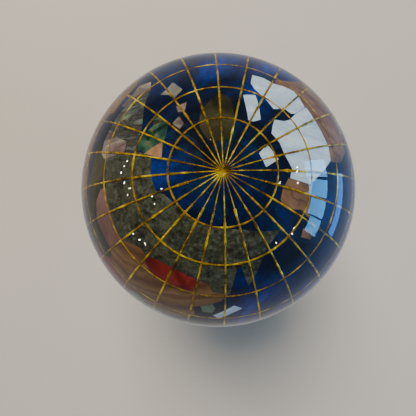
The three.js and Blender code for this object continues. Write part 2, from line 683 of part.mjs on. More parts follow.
// The dish follows the ball outside a flat-bottomed well that holds the bush flange and thrust washer.
function ballDish() {
  const inner = ballRadius + dishClearance;
  const outer = inner + dishWall;
  const middle = (inner + outer) / 2;
  const angleAt = (r, radius) => -90 + THREE.MathUtils.radToDeg(Math.asin(r / radius));
  const lip = angleAt(dishRadius, middle);
  const meeting = Math.asin(dishWall / 2 / dishRimWire); // of the roll with the wall's faces
  const setBack = THREE.MathUtils.radToDeg((dishRimWire * Math.cos(meeting)) / middle);
  const inside = arc(0, ballCentre, inner, angleAt(dishWellRadius + dishFlare, inner), lip - setBack, 4);
  const outside = arc(0, ballCentre, outer, lip - setBack, angleAt(dishSeatRadius + dishFlare, outer), 4);
  const [[rimR, rimZ]] = arc(0, ballCentre, middle, lip, lip, 1);
  const half = 180 - THREE.MathUtils.radToDeg(meeting);
  const roll = arc(rimR, rimZ, dishRimWire, 90 + lip + half, 90 + lip - half, 6).slice(1, -1);
  return turned([
    [bushSeatRadius, dishFloor],
    [dishWellRadius, dishFloor],
    ...inside,
    ...roll,
    ...outside,
    [dishSeatRadius, dishBottom],
    [bushSeatRadius, dishBottom],
  ]);
}

function clampWasher() {
  return ringShape(
    clampWasherRadius, tenonHoleRadius, clampWasherBottom, clampWasherHeight, aroundTurned,
  );
}

function thrustWasher() {
  return ringShape(flangeRadius, boreRadius, thrustWasherBottom, thrustWasherHeight);
}

// ---- What turns ----
function poleBoss() {
  return turned(
    [
      [boreRadius, bossBottom],
      [bossCollarRadius, bossBottom],
      [bossCollarRadius, bossCollarTop],
      [bossRadius, bossCollarTop],
      [bossRadius, bossTop],
      [0, bossTop],
      [0, spindleTop + fitGap],
      [boreRadius, spindleTop + fitGap],
    ],
    aroundSmall,
  );
}

function spindle() {
  return turned(
    [
      [0, spindleBottom],
      [spindleRadius, spindleBottom],
      [spindleRadius, clipBottom - fitGap],
      [clipGrooveRadius, clipBottom - fitGap],
      [clipGrooveRadius, clipTop + fitGap],
      [spindleRadius, clipTop + fitGap],
      [spindleRadius, spindleTop],
      [0, spindleTop],
    ],
    aroundSmall,
  );
}

function retainingClip() {
  const inner = clipGrooveRadius + fitGap;
  const from = THREE.MathUtils.degToRad(clipMouth / 2);
  const outline = new THREE.Shape();
  outline.absarc(0, 0, clipRadius, from, 2 * Math.PI - from, false);
  outline.absarc(0, 0, inner, 2 * Math.PI - from, from, true);
  const options = { depth: clipHeight, bevelEnabled: false, curveSegments: 10 };
  return new THREE.ExtrudeGeometry(outline, options).translate(0, 0, clipBottom);
}

// ---- The whole ----
const globe = new THREE.Group();
const stand = new THREE.Group();
stand.add(
  piece("felt_pad", feltPad(), greenFelt),
  piece("plinth", woodenPlinth(), rosewood),
  piece("ballast_disc", ballastDisc(), steel),
  piece("trim_ring", trimRing(), brass),
  piece("stem", brassStem(), brass),
  piece("clamp_washer", clampWasher(), steel),
  piece("clamp_nut", hexagonNut(nutRadius, tenonHoleRadius, nutBottom, nutHeight), steel),
  piece("dish", ballDish(), brass),
  piece("upper_bush", flangedBush(upperFlangeBottom, dishFloor - bushLength), bronze),
  piece("lower_bush", flangedBush(lowerFlangeBottom, tenonBottom + bushLength), bronze),
  piece("thrust_washer", thrustWasher(), whiteNylon),
);
ballastScrewPlaces().forEach(([x, y], i) =>
  stand.add(piece("ballast_screw_" + (i + 1), ballastScrew().translate(x, y, 0), steel)),
);

const ball = new THREE.Group();
ball.position.z = ballCentre;
ball.rotation.z = THREE.MathUtils.degToRad(ballTurn);
ball.add(
  piece("core_north", northCore(), coreResin),
  piece("core_south", southCore(), coreResin),
  ...stoneSkin(),
  piece("graticule", brassGraticule(), brass),
  piece("lacquer", layerShell(ballRadius, lacquerInner, poleHole), clearLacquer),
);
globe.add(
  ball,
  piece("pole_boss", poleBoss(), brass),
  piece("boss_nut", hexagonNut(bossNutRadius, poleHole, bossNutBottom, bossNutHeight), brass),
  piece("spindle", spindle(), steel),
  piece("retaining_clip", retainingClip(), steel),
);

const desktopGlobe = new THREE.Group();
desktopGlobe.add(stand, globe);

export default desktopGlobe;
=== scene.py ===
import bpy
import bmesh
import json
import math
from mathutils import Matrix, Vector, noise


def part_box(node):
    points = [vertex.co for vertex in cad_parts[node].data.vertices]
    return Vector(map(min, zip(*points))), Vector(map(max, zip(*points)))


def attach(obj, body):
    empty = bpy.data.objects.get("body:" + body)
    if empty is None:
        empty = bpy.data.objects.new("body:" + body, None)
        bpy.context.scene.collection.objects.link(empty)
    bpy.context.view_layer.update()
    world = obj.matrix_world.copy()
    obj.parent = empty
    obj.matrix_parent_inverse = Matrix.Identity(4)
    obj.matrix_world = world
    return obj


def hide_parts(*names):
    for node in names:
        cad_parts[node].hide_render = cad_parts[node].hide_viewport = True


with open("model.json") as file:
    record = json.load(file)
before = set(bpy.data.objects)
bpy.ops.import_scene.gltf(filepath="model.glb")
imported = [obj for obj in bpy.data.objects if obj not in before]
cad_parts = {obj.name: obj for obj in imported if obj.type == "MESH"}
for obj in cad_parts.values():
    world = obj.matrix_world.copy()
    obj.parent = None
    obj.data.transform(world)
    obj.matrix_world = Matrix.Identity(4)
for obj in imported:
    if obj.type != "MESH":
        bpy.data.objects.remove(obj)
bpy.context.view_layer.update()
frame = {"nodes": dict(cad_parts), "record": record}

mm = 0.001
nodes = frame["nodes"]


def ballMeasures():
    corners = [v.co for v in nodes["lacquer"].data.vertices]
    widest = max(corners, key=lambda c: c.xy.length)
    return Vector((0, 0, widest.z)), max(c.z for c in corners) - widest.z


ballCentre, ballRadius = ballMeasures()
ballTurn = math.radians(137)  # the zero meridian's angle from +X
ball = {
    "stoneRadius": ballRadius - 1.75 * mm,
    "stoneThickness": 1.3 * mm,
    "oceanSink": 0.03 * mm,  # the ocean lies this little below the stones
    "stoneSpread": 0.11 * mm,  # each stone is this much bigger than its solid
    "chipRise": 0.02 * mm,  # the small stones stand this little above the others
    "oceanThickness": 1.8 * mm,
    "edgeLength": 1.5 * mm,  # the longest edge of a stone's face
    "mostDivisions": 6,
    "shellDivisions": 6,
    "facing": 0.6,  # cosine past which a solid's face counts as its outward one
    "sharpAngle": 40,
    "lacquerBed": 0.2 * mm,  # the lacquer's inside lies this far under the stones' faces
    "poleOpening": 7.3 * mm,
}
print("ball centre", ballCentre, "radius", ballRadius)


def finishPiece(bm, name, body, material, replaced=(), autoAngle=None):
    mesh = bpy.data.meshes.new(name)
    bm.normal_update()
    bm.to_mesh(mesh)
    bm.free()
    piece = bpy.data.objects.new(name, mesh)
    bpy.context.scene.collection.objects.link(piece)
    mesh.materials.append(material)
    mesh.polygons.foreach_set("use_smooth", [True] * len(mesh.polygons))
    if autoAngle is not None:
        mesh.set_sharp_from_angle(angle=math.radians(autoAngle))
    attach(piece, body)
    if replaced:
        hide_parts(*replaced)
    return piece


def arcPoints(r, z, radius, fromDeg, toDeg, steps):
    points = []
    for i in range(steps + 1):
        a = math.radians(fromDeg + (toDeg - fromDeg) * i / steps)
        points.append((r + radius * math.cos(a), z + radius * math.sin(a)))
    return points


def spunProfile(profile, steps=96):
    # a closed outline of (radius, height) in metres, spun a full turn round Z
    bm = bmesh.new()
    verts = [bm.verts.new((r, 0, z)) for r, z in profile]
    edges = [bm.edges.new((verts[i], verts[(i + 1) % len(verts)])) for i in range(len(verts))]
    onAxis = [e for e in edges if all(v.co.x < 1e-7 for v in e.verts)]
    for e in onAxis:
        bm.edges.remove(e)
        edges.remove(e)
    bmesh.ops.spin(
        bm, geom=verts + edges, cent=(0, 0, 0), axis=(0, 0, 1), dvec=(0, 0, 0),
        angle=2 * math.pi, steps=steps, use_merge=True, use_duplicate=False,
    )
    bmesh.ops.remove_doubles(bm, verts=bm.verts, dist=1e-6)
    bmesh.ops.recalc_face_normals(bm, faces=bm.faces)
    return bm


class Nodes:
    # short ways to add and join shader nodes in one material
    def __init__(self, name, shade=1.0):
        self.shade = shade  # a ramp's colours are multiplied by this; below 1 it is painted shade
        self.material = bpy.data.materials.new(name)
        self.material.use_nodes = True
        self.tree = self.material.node_tree
        self.shader = self.tree.nodes["Principled BSDF"]
        self.output = self.tree.nodes["Material Output"]

    def add(self, kind, **values):
        node = self.tree.nodes.new(kind)
        for key, value in values.items():
            if key in node.inputs:
                node.inputs[key].default_value = value
            else:
                setattr(node, key, value)
        return node

    def link(self, a, b):
        self.tree.links.new(a, b)

    def place(self, scale=(1, 1, 1), turn=(0, 0, 0), centre=(0, 0, 0)):
        coords = self.add("ShaderNodeTexCoord")
        mapping = self.add("ShaderNodeMapping", Scale=scale, Rotation=turn)
        mapping.inputs["Location"].default_value = [-c * s for c, s in zip(centre, scale)]
        self.link(coords.outputs["Object"], mapping.inputs["Vector"])
        return mapping.outputs["Vector"]

    def noise(self, where, scale, detail=4, rough=0.55, distortion=0.0):
        node = self.add(
            "ShaderNodeTexNoise", Scale=scale, Detail=detail, Roughness=rough, Distortion=distortion
        )
        self.link(where, node.inputs["Vector"])
        return node.outputs["Fac"]

    def cells(self, where, scale, out="Distance"):
        node = self.add("ShaderNodeTexVoronoi", Scale=scale)
        self.link(where, node.inputs["Vector"])
        return node.outputs[out]

    def wave(self, where, scale, distortion, detail=3, kind="BANDS", axis="X", detailScale=1.5):
        node = self.add(
            "ShaderNodeTexWave", wave_type=kind, Scale=scale, Distortion=distortion, Detail=detail
        )
        node.inputs["Detail Scale"].default_value = detailScale
        if kind == "BANDS":
            node.bands_direction = axis
        else:
            node.rings_direction = axis
        self.link(where, node.inputs["Vector"])
        return node.outputs["Fac"]

    def ramp(self, value, stops):
        # a stop's colour is a tuple, darkened by the painted shade, or one number for a plain grey that
        # isn't darkened
        node = self.add("ShaderNodeValToRGB")
        while len(node.color_ramp.elements) < len(stops):
            node.color_ramp.elements.new(0.5)
        for element, (place, colour) in zip(node.color_ramp.elements, stops):
            element.position = place
            if isinstance(colour, (int, float)):
                colour = (colour, colour, colour)
            else:
                # painted shade: the colour is darkened by self.shade
                colour = [c * self.shade for c in colour]
            element.color = (*colour, 1)
        self.link(value, node.inputs["Fac"])
        return node.outputs["Color"]

    def mix(self, factor, a, b, mode="MIX"):
        node = self.add("ShaderNodeMix", data_type="RGBA", blend_type=mode)
        for socket, value in ((node.inputs[0], factor), (node.inputs[6], a), (node.inputs[7], b)):
            if isinstance(value, bpy.types.NodeSocket):
                self.link(value, socket)
            elif socket == node.inputs[0]:
                socket.default_value = value
            else:
                socket.default_value = (*value, 1)
        return node.outputs[2]

    def maths(self, operation, a, b):
        node = self.add("ShaderNodeMath", operation=operation)
        for socket, value in zip(node.inputs, (a, b)):
            if isinstance(value, bpy.types.NodeSocket):
                self.link(value, socket)
            else:
                socket.default_value = value
        return node.outputs[0]

    def colour(self, socket):
        self.link(socket, self.shader.inputs["Base Color"])

    def rough(self, socket):
        self.link(socket, self.shader.inputs["Roughness"])

    def bump(self, height, strength, distance):
        node = self.add("ShaderNodeBump", Strength=strength, Distance=distance)
        self.link(height, node.inputs["Height"])
        self.link(node.outputs["Normal"], self.shader.inputs["Normal"])


def plainSet(n, **values):
    for key, value in values.items():
        n.shader.inputs[key].default_value = value


def underLacquer(name, shade=0.62):
    # stone under lacquer looks deeper: its colours are darkened by shade, a painted shade set stone by
    # stone for the light a real coat holds back, as the lamps' light passes this lacquer without loss;
    # the gloss is the lacquer's
    n = Nodes(name, shade)
    plainSet(n, Roughness=0.42, **{"Specular IOR Level": 0.15})
    return n


def inBall(n, scale=(1, 1, 1), turn=(0, 0, 0)):
    return n.place(scale, turn, ballCentre)


def oceanLapis():
    n = underLacquer("ocean_lapis", 1.0)
    at = inBall(n)
    clouds = n.noise(at, 34, 5, 0.6, 0.7)
    base = n.ramp(clouds, [
        (0.36, (0.0024, 0.0036, 0.0090)), (0.48, (0.0024, 0.0062, 0.024)),
        (0.58, (0.0026, 0.013, 0.085)), (0.69, (0.003, 0.030, 0.24)),
    ])
    streaks = n.noise(inBall(n, (1, 1, 0.25), (0.5, 0.3, 0)), 120, 4, 0.6, 1.2)
    streaked = n.mix(n.ramp(streaks, [(0.54, 0.0), (0.70, 0.55)]), base, (0.002, 0.026, 0.062))
    grains = n.ramp(n.cells(at, 900, out="Color"), [(0.0, 0.5), (1.0, 1.3)])
    grained = n.mix(0.55, streaked, grains, "MULTIPLY")
    flecks = n.maths("LESS_THAN", n.cells(at, 620), 0.075)
    gate = n.maths("GREATER_THAN", n.noise(at, 130, 2), 0.58)
    flecked = n.mix(n.maths("MULTIPLY", flecks, gate), grained, (0.16, 0.12, 0.04))
    n.colour(flecked)
    return n.material


def darkSerpentine():
    n = underLacquer("dark_serpentine", 0.72)
    at = inBall(n)
    clouds = n.ramp(n.noise(at, 38, 6, 0.6, 0.6), [
        (0.34, (0.016, 0.018, 0.012)), (0.47, (0.034, 0.040, 0.027)), (0.55, (0.062, 0.060, 0.034)),
        (0.66, (0.060, 0.072, 0.052)),
    ])
    speckle = n.ramp(n.noise(at, 750, 4, 0.7), [(0.46, 0.0), (0.66, 0.7)])
    light = n.mix(speckle, clouds, (0.10, 0.12, 0.085))
    pits = n.ramp(n.noise(at, 430, 5, 0.72, 0.3), [(0.36, 0.22), (0.52, 1.0)])
    n.colour(n.mix(1.0, light, pits, "MULTIPLY"))
    return n.material


def whiteShell():
    n = underLacquer("white_shell", 0.80)
    at = inBall(n)
    layers = n.noise(inBall(n, (1, 4.5, 1), (0.4, 0.9, 0.2)), 75, 5, 0.6, 0.6)
    tint = n.ramp(layers, [
        (0.30, (0.34, 0.50, 0.66)), (0.50, (0.52, 0.68, 0.82)), (0.72, (0.72, 0.84, 0.94)),
    ])
    veins = n.ramp(n.noise(at, 260, 4, 0.6, 1.5), [(0.46, 1.0), (0.50, 0.80), (0.54, 1.0)])
    n.colour(n.mix(0.6, tint, veins, "MULTIPLY"))
    plainSet(n, **{"Specular IOR Level": 0.3})
    return n.material


def tanJasper():
    n = underLacquer("tan_jasper")
    at = inBall(n)
    base = n.ramp(n.noise(at, 60, 5, 0.6, 1.2), [
        (0.30, (0.12, 0.056, 0.026)), (0.50, (0.24, 0.125, 0.062)), (0.72, (0.34, 0.20, 0.11)),
    ])
    veins = n.ramp(n.wave(inBall(n, (1, 1, 1), (0.6, 0.2, 0.5)), 60, 9, 4, axis="Y"), [
        (0.0, 0.45), (0.10, 1.0), (0.85, 1.0), (1.0, 1.25),
    ])
    n.colour(n.mix(0.75, base, veins, "MULTIPLY"))
    return n.material


def orangeJasper():
    n = underLacquer("orange_jasper", 0.85)
    bands = n.wave(inBall(n, (1, 1, 1), (0.2, 0.35, 0.3)), 38, 5, 4, axis="Z", detailScale=1.2)
    colour = n.ramp(bands, [
        (0.0, (0.11, 0.050, 0.018)), (0.20, (0.165, 0.082, 0.030)), (0.60, (0.20, 0.105, 0.038)),
        (0.85, (0.235, 0.13, 0.052)), (1.0, (0.15, 0.070, 0.025)),
    ])
    mottle = n.ramp(n.noise(inBall(n), 190, 5, 0.65), [(0.3, 0.62), (0.7, 1.2)])
    n.colour(n.mix(0.7, colour, mottle, "MULTIPLY"))
    return n.material


def redJasper():
    n = underLacquer("red_jasper")
    at = inBall(n)
    base = n.ramp(n.noise(at, 110, 5, 0.65, 0.5), [
        (0.32, (0.10, 0.008, 0.008)), (0.52, (0.25, 0.018, 0.014)), (0.70, (0.36, 0.055, 0.035)),
    ])
    lines = n.ramp(n.noise(at, 170, 4, 0.6, 2.0), [(0.475, 1.0), (0.50, 0.35), (0.525, 1.0)])
    n.colour(n.mix(0.6, base, lines, "MULTIPLY"))
    return n.material


def oliveJasper():
    n = underLacquer("olive_jasper")
    at = inBall(n)
    n.colour(n.ramp(n.noise(at, 95, 6, 0.62, 0.8), [
        (0.32, (0.014, 0.013, 0.006)), (0.52, (0.040, 0.038, 0.014)), (0.72, (0.095, 0.080, 0.030)),
    ]))
    return n.material


def paleJade():
    n = underLacquer("pale_jade")
    at = inBall(n)
    base = n.ramp(n.noise(at, 120, 5, 0.6, 0.6), [
        (0.32, (0.10, 0.16, 0.10)), (0.52, (0.19, 0.27, 0.18)), (0.72, (0.33, 0.40, 0.29)),
    ])
    n.colour(base)
    return n.material


def roseStone():
    n = underLacquer("rose_stone")
    at = inBall(n)
    n.colour(n.ramp(n.noise(at, 85, 5, 0.6, 1.0), [
        (0.30, (0.12, 0.055, 0.042)), (0.52, (0.24, 0.125, 0.10)), (0.72, (0.36, 0.21, 0.17)),
    ]))
    return n.material


def greyShell():
    n = underLacquer("grey_shell")
    at = inBall(n)
    n.colour(n.ramp(n.noise(at, 110, 5, 0.6, 1.2), [
        (0.32, (0.14, 0.14, 0.115)), (0.52, (0.26, 0.26, 0.22)), (0.70, (0.42, 0.42, 0.37)),
    ]))
    return n.material


def pinkShell():
    n = underLacquer("pink_shell", 0.58)
    at = inBall(n, (1, 3.2, 1), (0.1, 0.7, 2.2))
    tint = n.ramp(n.noise(at, 80, 5, 0.6, 1.2), [
        (0.36, (0.14, 0.095, 0.085)), (0.47, (0.27, 0.19, 0.17)), (0.55, (0.32, 0.25, 0.22)),
        (0.61, (0.46, 0.45, 0.34)), (0.70, (0.50, 0.43, 0.38)),
    ])
    cloud = n.ramp(n.noise(inBall(n), 130, 4), [(0.4, 0.5), (0.6, 1.15)])
    n.colour(n.mix(0.8, tint, cloud, "MULTIPLY"))
    return n.material


def peachStone():
    n = underLacquer("peach_stone", 0.7)
    n.colour(n.ramp(n.noise(inBall(n), 90, 5, 0.6, 1.0), [
        (0.34, (0.26, 0.12, 0.055)), (0.54, (0.42, 0.23, 0.12)), (0.70, (0.50, 0.32, 0.20)),
    ]))
    return n.material


def abaloneShell():
    # dull wisps of grey and brown with a few bright flakes of green
    n = underLacquer("abalone_shell", 1.0)
    at = inBall(n, (1, 3.0, 1), (0.5, 0.3, 2.5))
    wisps = n.ramp(n.noise(at, 55, 6, 0.62, 1.4), [
        (0.32, (0.006, 0.006, 0.008)), (0.43, (0.020, 0.021, 0.018)), (0.49, (0.060, 0.062, 0.046)),
        (0.53, (0.014, 0.015, 0.014)), (0.59, (0.095, 0.105, 0.095)), (0.66, (0.020, 0.026, 0.022)),
    ])
    flakes = n.ramp(n.noise(at, 38, 4, 0.5, 2.4), [(0.58, 0.0), (0.66, 0.85)])
    sheen = n.ramp(n.noise(at, 120, 3, 0.5, 1.0), [
        (0.38, (0.030, 0.13, 0.12)), (0.50, (0.060, 0.22, 0.11)), (0.62, (0.22, 0.30, 0.12)),
    ])
    n.colour(n.mix(flakes, wisps, sheen))
    return n.material


def greenAbalone():
    # green and rose nacre crossed by dark growth lines
    n = underLacquer("abalone_green", 1.0)
    at = inBall(n, (1, 2.0, 1), (0.2, 0.5, 0.6))
    nacre = n.ramp(n.noise(at, 50, 5, 0.6, 2.2), [
        (0.36, (0.010, 0.034, 0.030)), (0.46, (0.018, 0.060, 0.038)), (0.52, (0.030, 0.095, 0.055)),
        (0.58, (0.085, 0.105, 0.055)), (0.64, (0.13, 0.080, 0.058)), (0.71, (0.03, 0.06, 0.045)),
    ])
    lines = n.ramp(n.noise(at, 30, 3, 0.5, 1.8), [
        (0.44, 1.0), (0.465, 0.10), (0.49, 1.0), (0.555, 1.0), (0.575, 0.18), (0.60, 1.0),
    ])
    n.colour(n.mix(1.0, nacre, lines, "MULTIPLY"))
    return n.material


def wireBrass():
    n = Nodes("wire_brass")
    plainSet(n, Metallic=0.5)
    at = inBall(n)
    n.colour(n.ramp(n.noise(at, 150, 4, 0.7), [
        (0.36, (0.085, 0.043, 0.002)), (0.46, (0.30, 0.17, 0.003)), (0.55, (0.56, 0.355, 0.005)),
        (0.63, (0.98, 0.76, 0.02)),
    ]))
    n.rough(n.ramp(n.noise(at, 400, 3), [(0.35, 0.12), (0.65, 0.36)]))
    n.bump(n.noise(at, 900, 3), 0.5, 0.1 * mm)
    return n.material


def turnedBrass():
    n = Nodes("turned_brass")
    plainSet(n, Metallic=0.85)
    at = n.place()
    n.colour(n.ramp(n.noise(at, 60, 5, 0.6, 0.5), [
        (0.30, (0.42, 0.25, 0.06)), (0.55, (0.70, 0.45, 0.13)), (0.75, (0.80, 0.54, 0.18)),
    ]))
    lines = n.noise(n.place((1, 1, 60)), 22, 3)
    n.rough(n.ramp(n.noise(at, 85, 5, 0.7), [(0.3, 0.14), (0.7, 0.30)]))
    n.bump(lines, 0.06, 0.1 * mm)
    return n.material


def polishedRosewood():
    n = Nodes("polished_rosewood")
    plainSet(n, **{"Coat Weight": 0.7, "Coat Roughness": 0.08})
    along = n.place((6, 60, 60))
    warp = n.noise(n.place((2.5, 14, 14)), 1.0, 4, 0.6)
    rings = n.wave(n.place((3, 28, 30), (0.12, 0.05, 0.0)), 1.0, 3.5, 3, kind="RINGS", axis="X")
    figure = n.ramp(rings, [
        (0.0, (0.020, 0.0055, 0.0025)), (0.35, (0.060, 0.016, 0.007)), (0.75, (0.105, 0.032, 0.012)),
        (1.0, (0.050, 0.013, 0.006)),
    ])
    cloud = n.ramp(warp, [(0.3, 0.55), (0.7, 1.3)])
    pores = n.ramp(n.noise(along, 9, 4, 0.7), [(0.36, 0.35), (0.46, 1.0)])
    n.colour(n.mix(0.8, n.mix(0.7, figure, cloud, "MULTIPLY"), pores, "MULTIPLY"))
    n.rough(n.ramp(pores, [(0.0, 0.55), (1.0, 0.30)]))
    n.bump(pores, 0.15, 0.1 * mm)
    return n.material


def greenFelt():
    n = Nodes("green_felt")
    plainSet(n, Roughness=0.95, **{"Sheen Weight": 0.4, "Specular IOR Level": 0.1})
    fibres = n.noise(n.place(), 2600, 5, 0.8, 1.5)
    n.colour(n.ramp(fibres, [(0.3, (0.006, 0.022, 0.012)), (0.7, (0.020, 0.062, 0.034))]))
    n.bump(fibres, 0.8, 0.2 * mm)
    return n.material


def plainMetal(name, dark, light, roughness, scale=120):
    n = Nodes(name)
    plainSet(n, Metallic=1.0)
    grain = n.noise(n.place((1, 1, 12)), scale, 4, 0.6)
    n.colour(n.ramp(grain, [(0.3, dark), (0.7, light)]))
    n.rough(n.ramp(grain, [(0.3, roughness * 0.8), (0.7, roughness * 1.25)]))
    return n.material


def mouldedPlastic(name, dark, light, roughness):
    n = Nodes(name)
    plainSet(n, Roughness=roughness)
    mottle = n.noise(n.place(), 160, 4, 0.6)
    n.colour(n.ramp(mottle, [(0.3, dark), (0.7, light)]))
    n.bump(n.noise(n.place(), 900, 3), 0.15, 0.05 * mm)
    return n.material


def clearLacquer():
    # thick clear gloss: the eye sees it refract, and the lamps' light goes straight to the stones
    n = Nodes("clear_lacquer")
    plainSet(n, Roughness=0.012, IOR=1.5, **{"Transmission Weight": 1.0, "Base Color": (1, 1, 1, 1)})
    clear = n.add("ShaderNodeBsdfTransparent", Color=(1, 1, 1, 1))
    path = n.add("ShaderNodeLightPath")
    blend = n.add("ShaderNodeMixShader")
    n.link(path.outputs["Is Camera Ray"], blend.inputs["Fac"])
    n.link(clear.outputs["BSDF"], blend.inputs[1])
    n.link(n.shader.outputs["BSDF"], blend.inputs[2])
    n.link(blend.outputs["Shader"], n.output.inputs["Surface"])
    return n.material


print("materials")
stoneMaterials = {
    "ocean_stone": oceanLapis(),
    "green_serpentine": darkSerpentine(),
    "white_shell": whiteShell(),
    "tan_jasper": tanJasper(),
    "orange_jasper": orangeJasper(),
    "red_jasper": redJasper(),
    "olive_jasper": oliveJasper(),
    "pale_jade": paleJade(),
    "rose_quartz": roseStone(),
    "pink_shell": pinkShell(),
    "abalone": abaloneShell(),
}
standBrass = turnedBrass()
steelMetal = plainMetal("turned_steel", (0.20, 0.21, 0.22), (0.42, 0.43, 0.45), 0.35)
bronzeMetal = plainMetal("sintered_bronze", (0.20, 0.09, 0.03), (0.42, 0.22, 0.08), 0.45, 900)
ownStone = {  # stones whose look differs from the others in their slot
    "land_british_isles": greyShell(),
    "land_scandinavia": greenAbalone(),
}
peachChip = peachStone()
slotOf = {row["node"]: row["material_slot"] for row in frame["record"]["subparts"]}


def outerSkin(node):
    # the outward faces of a stone's solid, pushed out to a true sphere and divided finely
    bm = bmesh.new()
    bm.from_mesh(nodes[node].data)
    bmesh.ops.remove_doubles(bm, verts=bm.verts, dist=1e-6)
    bmesh.ops.translate(bm, verts=bm.verts, vec=-ballCentre)
    bm.normal_update()
    away = [f for f in bm.faces if f.normal.dot(f.calc_center_median().normalized()) < ball["facing"]]
    bmesh.ops.delete(bm, geom=away, context="FACES")
    divideSkin(bm)
    return bm


def divideSkin(bm):
    for _ in range(ball["mostDivisions"]):
        bmesh.ops.triangulate(bm, faces=bm.faces)
        toSphere(bm, ball["stoneRadius"])
        long = [e for e in bm.edges if e.calc_length() > ball["edgeLength"]]
        if not long:
            break
        bmesh.ops.subdivide_edges(bm, edges=long, cuts=1, use_grid_fill=False)
    bmesh.ops.triangulate(bm, faces=bm.faces)
    toSphere(bm, ball["stoneRadius"])


def toSphere(bm, radius):
    for v in bm.verts:
        v.co = v.co.normalized() * radius


def spreadEdges(bm, distance):
    # moves the rim of a patch outwards along the sphere
    push = {}
    for e in bm.edges:
        if not e.is_boundary:
            continue
        middle = (e.verts[0].co + e.verts[1].co) / 2
        outward = (e.verts[1].co - e.verts[0].co).cross(middle).normalized()
        inside = e.link_faces[0].calc_center_median()
        if outward.dot(inside - middle) > 0:
            outward = -outward
        for v in e.verts:
            push.setdefault(v, Vector()).__iadd__(outward)
    for v, way in push.items():
        if way.length > 1e-6:
            v.co += way.normalized() * distance


def thickenSkin(bm, radius):
    # gives a patch of the sphere the stone's thickness, inwards, and moves it to the ball's place
    toSphere(bm, radius)
    made = bmesh.ops.extrude_face_region(bm, geom=bm.faces[:], use_keep_orig=True)
    for v in made["geom"]:
        if isinstance(v, bmesh.types.BMVert):
            v.co = v.co.normalized() * (radius - ball["stoneThickness"])
    bmesh.ops.recalc_face_normals(bm, faces=bm.faces)
    bmesh.ops.translate(bm, verts=bm.verts, vec=ballCentre)


def stonePiece(node):
    bm = outerSkin(node)
    spreadEdges(bm, ball["stoneSpread"])
    thickenSkin(bm, ball["stoneRadius"])
    name = node.replace("land_", "stone_")
    stone = ownStone.get(node, stoneMaterials[slotOf[node]])
    piece = finishPiece(bm, name, "globe", stone, [node], ball["sharpAngle"])


# small stones let into the ocean, as [longitude, latitude] corners
chips = {
    "iceland_chip": ("pink_shell", [(-21, 62.8), (-16, 65.8), (-11.5, 64.8), (-13, 62.3)]),
    "north_chip": ("pink_shell", [(-10, 66.3), (-9, 69.8), (-2.5, 70.2), (-2, 66.8)]),
    "cape_chip": ("pink_shell", [(15, 68), (29, 69.8), (28.5, 63), (21, 66)]),
    "aleutian_chip": ("tan_jasper", [(-175, 55), (-170, 56.5), (-167, 52.5), (-172, 50.5)]),
}


def chipPiece(name, slotName, outline):
    bm = bmesh.new()
    corners = []
    for longitude, latitude in outline:
        lon, lat = math.radians(longitude) + ballTurn, math.radians(latitude)
        way = (math.cos(lat) * math.cos(lon), math.cos(lat) * math.sin(lon), math.sin(lat))
        corners.append(bm.verts.new(Vector(way) * ball["stoneRadius"]))
    bm.faces.new(corners)
    bm.normal_update()
    if bm.faces[:][0].normal.dot(corners[0].co) < 0:
        bmesh.ops.reverse_faces(bm, faces=bm.faces[:])
    divideSkin(bm)
    thickenSkin(bm, ball["stoneRadius"] + ball["chipRise"])
    stone = peachChip if name == "cape_chip" else stoneMaterials[slotName]
    piece = finishPiece(bm, name, "globe", stone, autoAngle=ball["sharpAngle"])


def openShell(radius, thickness):
    # a sphere's shell with a round opening at the south pole
    bm = bmesh.new()
    bmesh.ops.create_icosphere(bm, subdivisions=ball["shellDivisions"], radius=radius)
    depth = -math.sqrt(radius ** 2 - ball["poleOpening"] ** 2)
    bmesh.ops.bisect_plane(
        bm, geom=bm.verts[:] + bm.edges[:] + bm.faces[:], plane_co=(0, 0, depth),
        plane_no=(0, 0, -1), clear_outer=True, dist=1e-7,
    )
    skin = bm.faces[:]
    made = bmesh.ops.extrude_face_region(bm, geom=skin, use_keep_orig=True)
    inner = [v for v in made["geom"] if isinstance(v, bmesh.types.BMVert)]
    for v in inner:
        v.co *= 1 - thickness / radius
    bmesh.ops.recalc_face_normals(bm, faces=bm.faces)
    bmesh.ops.translate(bm, verts=bm.verts, vec=ballCentre)
    return bm


print("stones")
for node in sorted(nodes):
    if node.startswith("land_"):
        stonePiece(node)
for name, (slotName, outline) in chips.items():
    chipPiece(name, slotName, outline)
ocean = finishPiece(
    openShell(ball["stoneRadius"] - ball["oceanSink"], ball["oceanThickness"]), "ocean_skin_stone",
    "globe", stoneMaterials["ocean_stone"], ["ocean_skin"], ball["sharpAngle"],
)
lacquerDepth = ballRadius - ball["stoneRadius"] + ball["lacquerBed"]
lacquer = finishPiece(
    openShell(ballRadius, lacquerDepth), "lacquer_coat", "globe", clearLacquer(), ["lacquer"],
    ball["sharpAngle"],
)


wires = {
    "parallels": [72.5, 59.5, 45.5, 30, 15, 0, -15, -30, -45, -60, -72.5],
    "meridians": 24,
    "halfWidth": 0.3 * mm,
    "halfHeight": 0.18 * mm,
    "sink": 0.05 * mm,
    "stepLength": 1.0 * mm,
    "lumpLength": 5 * mm,
    "lumpRate": 2.2,
    "lumpiness": 0.28,
    "beadFrom": 0.25,
    "beading": 1.2,
    "sway": 0.25 * mm,
    "swayRate": 0.5,
    "swayOutward": 0.2,
    "thinFrom": 77.5,  # the latitude where a meridian is thinned, give or take thinSpread
    "thinSpread": 4,
    "thinLap": 0.5,
    "polarThin": 0.6,
    "polarEnd": 89.6,
    "southEnd": -80.0,
    "dotRadius": 0.6 * mm,
    "dotRise": 0.24 * mm,
    "dotFlatness": 0.12,
    "dotLumpiness": 0.45,
    "dotLumpLength": 0.8 * mm,
}


def wireSection(thin):
    # eight points round the flattened wire, as (across, outward) offsets
    turns = [math.radians(a) for a in range(0, 360, 45)]
    return [
        (math.cos(a) * wires["halfWidth"] * thin, math.sin(a) * wires["halfHeight"] * thin)
        for a in turns
    ]


